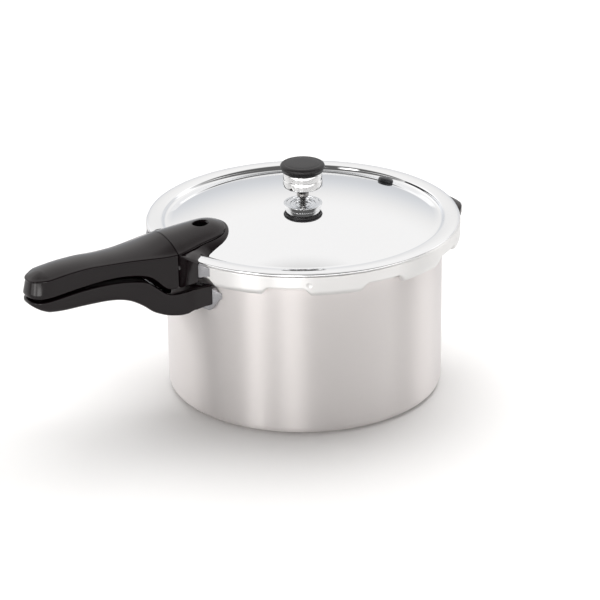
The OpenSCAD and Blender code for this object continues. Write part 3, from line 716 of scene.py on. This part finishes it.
def helper_handle():
    end = cad_high[0] / MM
    radius = 29
    centre = end - radius
    edge = 1.8
    top = [(118, 132.2), (136, 132.2), (143, 132.6), (147, 135), (152, 140.4), (155, 142.8), (159, 144.6),
           (163, 145.2), (166, 145.2), (end, 144.4)]
    low = [(118, 110), (136, 109.6), (140, 110.2), (145, 113.5), (149, 120), (153, 128.6), (157, 134.6),
           (161, 136.8), (165, 137.8), (end, 138.6)]
    half = [(132.1, 0), (131.4, 13), (129, 26), (127.4, 33.4), (130, 33.6), (133.4, 31), (137, 29.4)]
    half += [(centre + radius * math.sin(a), radius * math.cos(a))
             for a in (math.radians(k * 3.75) for k in range(1, 25))]
    half[-1] = (end, 0)

    def spine(u):
        return min(max(u, 136), 142)

    quarter = [math.radians(k * 22.5) for k in range(5)]

    def levels(u, q):
        def heights(share):
            at_u = q + (u - q) * share
            return through(low, at_u), through(top, at_u)

        z_low, z_top = heights(1)
        column = [(edge, s, heights(s)[0]) for s in (0, 0.3, 0.6, 0.85)]
        column += [(edge * (1 - math.sin(a)), 1, z_low + edge * (1 - math.cos(a))) for a in quarter]
        column += [(0, 1, lerp(z_low + edge, z_top - edge, k / 4)) for k in (1, 2, 3)]
        column += [(edge * (1 - math.cos(a)), 1, z_top + edge * (math.sin(a) - 1)) for a in quarter]
        column += [(edge, s, heights(s)[1]) for s in (0.92, 0.84, 0.76, 0.68, 0.6, 0.5, 0.4, 0.3, 0.15, 0)]
        return column

    piece = bar("helper_handle_moulding", half, spine, levels, True,
                "pot", phenolic, sign=-1)
    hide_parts("helper_handle")


# ---------------------------------------------------------------- brackets

def strap(name, node, body, centre, half_angle, r_in, thick, taper, z_low, z_high, far_half=None, sharp=40):
    """Strap round a wall. Its ends slope down to the wall over taper degrees, and z_low and z_high
    follow the angle. far_half is the half angle on the side away from the camera."""
    columns = []
    steps = 90
    corner = 0.8
    end_thick = 0.35
    far_half = far_half or half_angle
    for i in range(steps + 1):
        turn = lerp(-far_half, half_angle, i / steps)
        share = smooth(min(half_angle - turn, far_half + turn) / taper)
        out = r_in + lerp(end_thick, thick, share)
        low, high = z_low(abs(turn)), z_high(abs(turn))
        section = rounded([(r_in, low), (out, low), (out, high), (r_in, high)],
                          [0, min(corner, out - r_in), min(corner, out - r_in), 0], 4)
        a = centre + math.radians(turn)
        columns.append([(r * math.cos(a), r * math.sin(a), z) for r, z in section])
    count = len(columns[0])
    vertices = [p for column in columns for p in column]
    faces = []
    for k in range(steps):
        here, following = k * count, (k + 1) * count
        for j in range(count):
            after = (j + 1) % count
            faces.append((here + j, following + j, following + after, here + after))
    faces.append(tuple(range(count)))
    faces.append(tuple(steps * count + j for j in range(count)))
    piece = make_object(name, vertices, faces, body, bracket_steel, sharp)
    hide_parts(node)


def brackets():
    strap("cover_bracket_strap", "cover_handle_bracket", "lid", LONG_SIDE, 25.3, SKIRT_R + 0.05, 2.7, 3,
          lambda t: lerp(149.5, 152, smooth((t - 21) / 4)),
          lambda t: lerp(162.4, 160.5, smooth((t - 22) / 3.3)), far_half=18)
    strap("body_bracket_strap", "body_handle_bracket", "pot", LONG_SIDE, 25.6, POT_R + 0.05, 3.8, 4,
          lambda t: lerp(112, 124.5, smooth((t - 20) / 5.6)),
          lambda t: lerp(134.5, 130, smooth((t - 21) / 4.6)))


# ---------------------------------------------------------------- fittings on the cover

def fittings():
    weight_low, weight_high = box_mm("regulator_weight")
    cap_low, cap_high = box_mm("regulator_cap")
    pipe_low, pipe_high = box_mm("vent_pipe")
    low, base = weight_low[2], cap_low[2]
    wide = weight_high[0]
    narrow = wide - 1.4
    middle = (low + base) / 2
    between = (wide + narrow) / 2
    body = rounded(
        [(0.01, pipe_high[2] + 0.3), (4, pipe_high[2] + 0.3), (4, low + 4.4), (7, low + 4.4),
         (7.4, low + 2.6), (9.6, low + 2.2), (10, low + 3.4), (12.4, low + 3.4), (12.8, low + 1.6),
         (16.2, low + 1.3), (16.6, low), (wide - 0.3, low), (wide, low + 0.5), (between, middle - 0.4),
         (between - 0.5, middle), (between, middle + 0.4), (narrow, base - 1.2), (narrow - 0.6, base),
         (7, base), (7, base + 3.4), (0.01, base + 3.4)],
        [0, 0, 0.3, 0.3, 0.3, 0.3, 0.3, 0.3, 0.3, 0.3, 0.4, 0.3, 0.3, 0.1, 0.1, 0.1, 0.4, 0.3, 0, 0.3, 0], 4)
    piece = turned("regulator_body", body, "regulator", chrome)
    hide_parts("regulator_weight")

    cap_r = cap_high[0]
    top = cap_high[2]
    cap = (
        [(0.01, base + 3.5), (7.1, base + 3.5), (7.1, base + 0.02), (cap_r - 3.2, base + 0.02)]
        + arc(cap_r - 2.5, base + 0.9, 0.8, -100, -10, 5)
        + bezier((cap_r - 1.6, base + 2.6), (cap_r - 1.3, base + 3.2),
                 (cap_r - 0.2, base + 3.1), (cap_r, base + 4.2), 7)[:-1]
        + bezier((cap_r, base + 4.2), (cap_r, top - 1.6),
                 (cap_r - 1.2, top - 0.75), (cap_r - 3.2, top - 0.5), 10)
        + bezier((cap_r - 3.7, top - 0.48), (cap_r - 4, top - 0.62),
                 (cap_r - 4.4, top - 0.6), (cap_r - 5, top - 0.42), 5)
        + bezier((cap_r - 8, top - 0.15), (9, top), (5, top), (0.01, top), 8)
    )
    piece = turned("regulator_cap_moulding", cap, "regulator", cap_plastic)
    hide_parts("regulator_cap")

    tall = pipe_high[2]
    pipe = rounded(
        [(1.2, pipe_low[2]), (3.1, pipe_low[2]), (3.1, DOME_Z - 0.05), (5.6, DOME_Z - 0.05),
         (5.6, DOME_Z + 1.3), (4.2, DOME_Z + 2.2), (3.2, DOME_Z + 2.6), (3.2, DOME_Z + 4.2),
         (2.7, DOME_Z + 4.8), (2.7, tall - 3), (3.2, tall - 2.4), (3.2, tall - 1.4), (2, tall),
         (1.2, tall)],
        [0, 0.2, 0, 0.2, 0.4, 0.6, 0.4, 0.2, 0.2, 0.2, 0.2, 0.3, 0.2, 0.1], 4)
    piece = turned("vent_pipe_turned", pipe, "lid", dark_steel, turns=96)
    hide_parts("vent_pipe")

    plug_low, plug_high = box_mm("overpressure_plug")
    away = math.hypot((plug_low[0] + plug_high[0]) / 2, (plug_low[1] + plug_high[1]) / 2)
    turn = math.atan2(plug_low[1] + plug_high[1], plug_low[0] + plug_high[0])
    lean = math.asin(PLUG_DISTANCE / DOME_RADIUS)
    place = (Matrix.Rotation(turn, 4, "Z") @ Matrix.Translation((0, 0, DOME_CENTRE))
             @ Matrix.Rotation(lean, 4, "Y") @ Matrix.Translation((0, 0, DOME_RADIUS)))
    plug = rounded(
        [(0.01, -5.4), (3.4, -5.4), (4.2, -4.8), (7.6, -2.9), (7.6, -2.5), (5.1, -2.5), (5.1, 0.02),
         (7.1, 0.02), (7.3, 1.2), (6.9, 3), (5.6, 3.9), (4.6, 3.7), (3.8, 4.3), (0.01, 4.6)],
        [0, 0.5, 0.4, 0.2, 0.2, 0.2, 0, 0.2, 0.8, 1.2, 0.6, 0.5, 0.7, 0], 5)
    piece = turned("overpressure_plug_moulding", plug, "lid", plug_rubber,
                   turns=96, place=place)
    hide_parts("overpressure_plug")


# ---------------------------------------------------------------- stage, light, camera

CAMERA_AZIMUTH = math.radians(29.5)


def world_light():
    """White to the camera; to reflections bright behind the object, dim on the camera's side with
    upright panels near the horizon."""
    world = bpy.data.worlds.new("studio")
    bpy.context.scene.world = world
    world.use_nodes = True
    nodes, links = world.node_tree.nodes, world.node_tree.links
    nodes.clear()
    place = nodes.new("ShaderNodeTexCoord")
    turn = nodes.new("ShaderNodeVectorRotate")
    turn.rotation_type = "Z_AXIS"
    turn.inputs["Angle"].default_value = CAMERA_AZIMUTH
    links.new(place.outputs["Generated"], turn.inputs["Vector"])
    parts = nodes.new("ShaderNodeSeparateXYZ")
    links.new(turn.outputs["Vector"], parts.inputs["Vector"])

    def math_node(operation, a, b=None, c=None):
        node = nodes.new("ShaderNodeMath")
        node.operation = operation
        for socket, value in zip(node.inputs, (a, b, c)):
            if value is None:
                continue
            if isinstance(value, (int, float)):
                socket.default_value = value
            else:
                links.new(value, socket)
        return node.outputs["Value"]

    def ramp(value, low, high):
        node = nodes.new("ShaderNodeMapRange")
        node.interpolation_type = "SMOOTHSTEP"
        node.inputs["From Min"].default_value = low
        node.inputs["From Max"].default_value = high
        links.new(value, node.inputs["Value"])
        return node.outputs["Result"]

    x, y, z = parts.outputs["X"], parts.outputs["Y"], parts.outputs["Z"]
    azimuth = math_node("ARCTAN2", x, math_node("MULTIPLY", y, -1))

    def between(value, low, high, soft):
        return math_node("MULTIPLY", ramp(value, low - soft, low), ramp(value, high + soft, high))

    def lamp(centre_deg, half_deg, soft_deg, low_z, high_z):
        """1 inside an upright panel; azimuth counts from the camera's side, positive to its right."""
        away = math_node("ABSOLUTE", math_node("SUBTRACT", azimuth, math.radians(centre_deg)))
        across = ramp(away, math.radians(half_deg + soft_deg), math.radians(half_deg))
        return math_node("MULTIPLY", across, between(z, low_z, high_z, 0.12))

    def add(base, extra, amount):
        return math_node("MULTIPLY_ADD", extra, amount, base)

    dark = 0.12
    far = math_node("ADD", 0.66, math_node("MULTIPLY", ramp(z, -0.05, 0.55), 0.33))
    far = math_node("MULTIPLY", far, math_node("SUBTRACT", 1, math_node("MULTIPLY", ramp(z, 0.85, 1), 0.6)))
    facing = ramp(y, -0.2, 0.25)
    level = math_node("ADD", math_node("MULTIPLY", math_node("SUBTRACT", far, dark), facing), dark)
    level = add(level, lamp(-39, 4.5, 6, -0.1, 0.3), 2.5)
    level = add(level, lamp(-10, 6, 7, -0.1, 0.18), 2.9)
    level = add(level, lamp(-122, 26, 16, -0.1, 0.55), 0.2)
    level = add(level, lamp(116, 7, 8, -0.1, 0.5), 0.4)
    level = add(level, lamp(2, 66, 24, -0.2, 0.14), 2.1)
    behind = math_node("MULTIPLY", ramp(y, 0.3, 0.8), math_node("SUBTRACT", 1, ramp(z, 0.05, 0.4)))
    tone = nodes.new("ShaderNodeMix")
    tone.data_type = "RGBA"
    tone.inputs["A"].default_value = (1, 0.985, 0.97, 1)
    tone.inputs["B"].default_value = (0.985, 1, 1.03, 1)
    links.new(behind, tone.inputs["Factor"])
    shown = nodes.new("ShaderNodeMix")
    path = nodes.new("ShaderNodeLightPath")
    shown.data_type = "FLOAT"
    shown.inputs["B"].default_value = 1.0
    links.new(path.outputs["Is Camera Ray"], shown.inputs["Factor"])
    links.new(level, shown.inputs["A"])
    seen = nodes.new("ShaderNodeMix")
    seen.data_type = "RGBA"
    seen.inputs["B"].default_value = (1, 1, 1, 1)
    links.new(path.outputs["Is Camera Ray"], seen.inputs["Factor"])
    links.new(tone.outputs["Result"], seen.inputs["A"])
    background = nodes.new("ShaderNodeBackground")
    links.new(seen.outputs["Result"], background.inputs["Color"])
    links.new(shown.outputs["Result"], background.inputs["Strength"])
    output = nodes.new("ShaderNodeOutputWorld")
    links.new(background.outputs["Background"], output.inputs["Surface"])


def softbox(name, azimuth_deg, elevation_deg, distance, width, height, power):
    """Area light; azimuth counts from the camera's side, positive to its right."""
    light = bpy.data.lights.new(name, "AREA")
    light.shape = "RECTANGLE"
    light.size = width
    light.size_y = height
    light.energy = power
    lamp = bpy.data.objects.new(name, light)
    bpy.context.collection.objects.link(lamp)
    a = math.radians(azimuth_deg) - math.pi / 2 - CAMERA_AZIMUTH
    e = math.radians(elevation_deg)
    back = Vector((math.cos(a) * math.cos(e), math.sin(a) * math.cos(e), math.sin(e)))
    lamp.location = back * distance + Vector((0, 0, 0.1))
    lamp.rotation_euler = back.to_track_quat("Z", "Y").to_euler()
    lamp.visible_glossy = False


FLOOR_COLOUR = (0.93, 0.925, 0.92)
FLOOR_DROP = 0.0002  # keeps the floor just clear of the pot's base, in metres


def dim_reflection(look, share):
    """Painted shade in reflections: glossy rays see only a share of the floor's colour, so the floor looks
    darker in the pot and handles than it does to the camera.
    """
    nodes, links = look.node_tree.nodes, look.node_tree.links
    colour = nodes["Principled BSDF"].inputs["Base Color"]
    source = colour.links[0].from_socket
    path = nodes.new("ShaderNodeLightPath")
    dimmed = nodes.new("ShaderNodeMix")
    dimmed.data_type = "RGBA"
    dimmed.inputs["B"].default_value = (*[c * share for c in FLOOR_COLOUR], 1)
    links.new(path.outputs["Is Glossy Ray"], dimmed.inputs["Factor"])
    links.new(source, dimmed.inputs["A"])
    links.new(dimmed.outputs["Result"], colour)


def floor():
    radius = 1.9
    turns = 96
    mesh = bpy.data.meshes.new("floor")
    around = [2 * math.pi * k / turns for k in range(turns)]
    edge = [(radius * math.cos(a), radius * math.sin(a), 0) for a in around]
    mesh.from_pydata(edge, [], [tuple(range(turns))])
    piece = bpy.data.objects.new("floor", mesh)
    bpy.context.collection.objects.link(piece)
    look = material("floor_paper", FLOOR_COLOUR, 0, 0.5, grain_scale=200, tint=0.004, bump=0.01)
    # painted shade: reflections show the floor at 0.78 of its colour
    dim_reflection(look, 0.78)
    mesh.materials.append(look)
    piece.location.z = -FLOOR_DROP


def camera():
    distance = 2.5806
    elevation = math.radians(23.3)
    roll = math.radians(-0.79)
    focus = Vector((-0.00392, 0, 0.0776))
    ahead = Vector((0, math.cos(elevation), -math.sin(elevation)))
    right = Vector((1, 0, 0))
    up = Vector((0, math.sin(elevation), math.cos(elevation)))
    right_rolled = right * math.cos(roll) + up * math.sin(roll)
    up_rolled = -right * math.sin(roll) + up * math.cos(roll)
    aligned = Matrix((right_rolled, up_rolled, -ahead)).transposed().to_4x4()
    aligned.translation = focus - ahead * distance
    data = bpy.data.cameras.new("camera")
    data.lens = 165.96
    data.sensor_width = 36
    data.clip_start = 0.1
    data.clip_end = 50
    seen = bpy.data.objects.new("camera", data)
    bpy.context.collection.objects.link(seen)
    seen.matrix_world = Matrix.Rotation(-CAMERA_AZIMUTH, 4, "Z") @ aligned
    bpy.context.scene.camera = seen


pot()
cover()
cover_grip()
nose()
body_handle()
helper_handle()
brackets()
fittings()
world_light()
floor()
softbox("top_softbox", 170, 75, 2.4, 2.4, 2.4, 62)
camera()
bpy.context.scene.view_settings.view_transform = "Standard"
